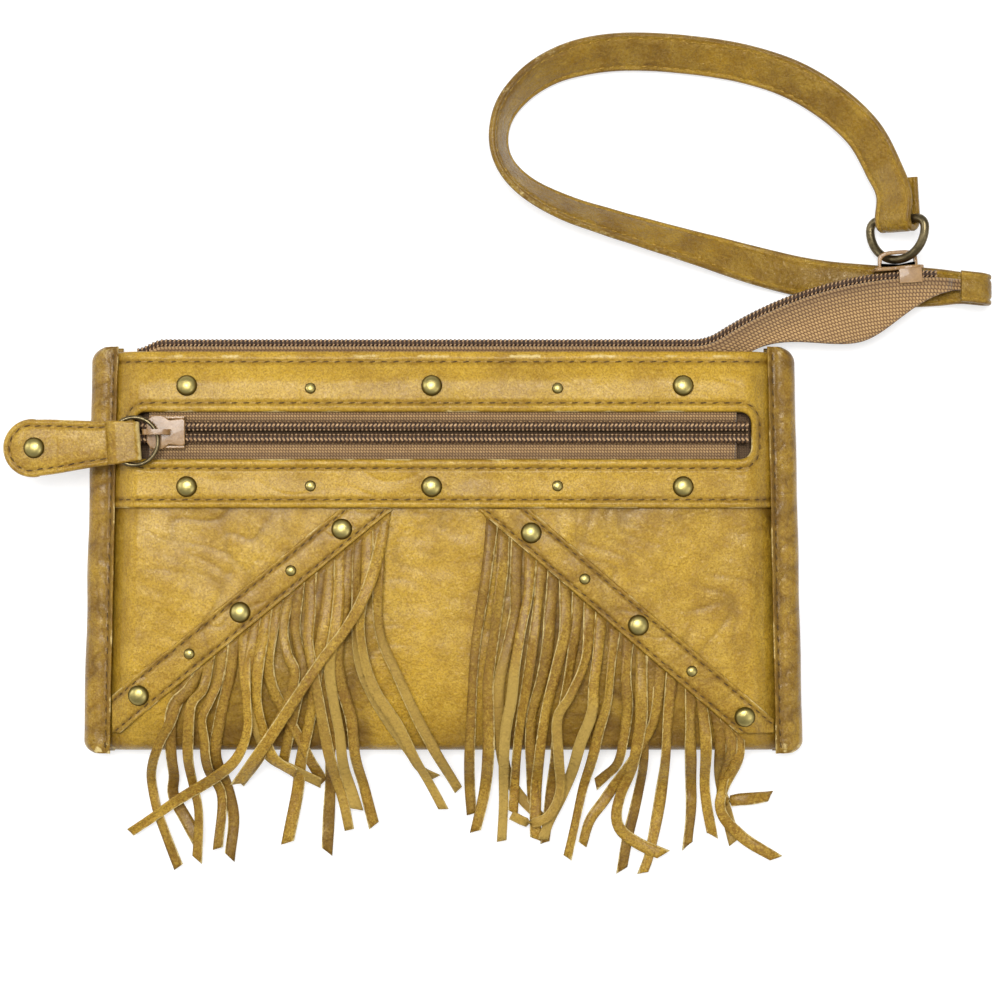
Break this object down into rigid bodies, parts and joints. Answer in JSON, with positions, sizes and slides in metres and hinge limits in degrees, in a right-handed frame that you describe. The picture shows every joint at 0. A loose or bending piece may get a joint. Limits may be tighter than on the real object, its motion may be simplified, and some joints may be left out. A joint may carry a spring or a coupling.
{
  "type": "fringed wristlet bag",
  "caption": "Flat fringed leather zip bag with studded trim, a front zip pocket and a wrist strap; zips, pull and ring move.",
  "frame": {"origin": "middle of the back, on the surface that the bag rests on", "axes": "+X along the bag, +Y towards its top zip, +Z out of its front"},
  "size_m": [0.2589, 0.2208, 0.0208],
  "materials": {
    "leather": "glossy mottled mustard tan",
    "trim_leather": "glossy mottled mustard tan, worn at its edges",
    "fringe_leather": "tan face with a paler matt back",
    "strap_leather": "glossy golden tan",
    "lining": "matt brown cloth",
    "zip_tape": "matt brown woven tape",
    "zip_coil": "satin brown nylon",
    "slider_enamel": "satin tan enamel",
    "dark_brass": "dark antique brass",
    "stud_brass": "antique brass"
  },
  "bodies": {
    "bag": {"body_panel": "leather", "zip_frame_panel": "leather", "left_edge_binding": "trim_leather", "right_edge_binding": "trim_leather", "left_trim_band": "trim_leather", "right_trim_band": "trim_leather", "left_fringe": "fringe_leather", "right_fringe": "fringe_leather", "wrist_strap": "strap_leather", "main_lining": "lining", "pocket_lining": "lining", "pocket_zip_upper_tape": "zip_tape", "pocket_zip_lower_tape": "zip_tape", "main_zip_front_tape": "zip_tape", "main_zip_back_tape": "zip_tape", "pocket_zip_upper_coil": "zip_coil", "pocket_zip_lower_coil": "zip_coil", "main_zip_front_coil": "zip_coil", "main_zip_back_coil": "zip_coil", "stud_upper_1": "stud_brass", "stud_upper_2": "stud_brass", "stud_upper_3": "stud_brass", "stud_lower_1": "stud_brass", "stud_lower_2": "stud_brass", "stud_lower_3": "stud_brass", "small_stud_upper_1": "stud_brass", "small_stud_upper_2": "stud_brass", "small_stud_lower_1": "stud_brass", "small_stud_lower_2": "stud_brass", "stud_left_trim_1": "stud_brass", "small_stud_left_trim_2": "stud_brass", "stud_left_trim_3": "stud_brass", "small_stud_left_trim_4": "stud_brass", "stud_left_trim_5": "stud_brass", "stud_right_trim_1": "stud_brass", "small_stud_right_trim_2": "stud_brass", "stud_right_trim_3": "stud_brass", "small_stud_right_trim_4": "stud_brass", "stud_right_trim_5": "stud_brass"},
    "pocket_slider": {"pocket_slider": "slider_enamel"},
    "pull_tab": {"pull_ring": "dark_brass", "pull_tab": "trim_leather", "pull_tab_rivet": "stud_brass"},
    "main_slider": {"main_slider": "slider_enamel"},
    "d_ring": {"d_ring": "dark_brass"}
  },
  "joints": [
    {"name": "pocket_zip_travel", "type": "slide", "parent": "bag", "child": "pocket_slider", "axis": [1, 0, 0], "range_m": [0, 0.146]},
    {"name": "pull_tab_flip", "type": "hinge", "parent": "pocket_slider", "child": "pull_tab", "pos_m": [-0.07438, 0.0304, 0.0172], "axis": [0, 1, 0], "range_deg": [0, 174]},
    {"name": "main_zip_travel", "type": "hinge", "parent": "bag", "child": "main_slider", "pos_m": [0.1276, -0.0284, 0.0072], "axis": [0, 0, 1], "range_deg": [0, 23], "deforming": ["wrist_strap"]},
    {"name": "d_ring_swing", "type": "hinge", "parent": "main_slider", "child": "d_ring", "pos_m": [0.12, 0.0762, 0.0072], "axis": [0, 0, 1], "range_deg": [-8, 8], "deforming": ["wrist_strap"]}
  ]
}
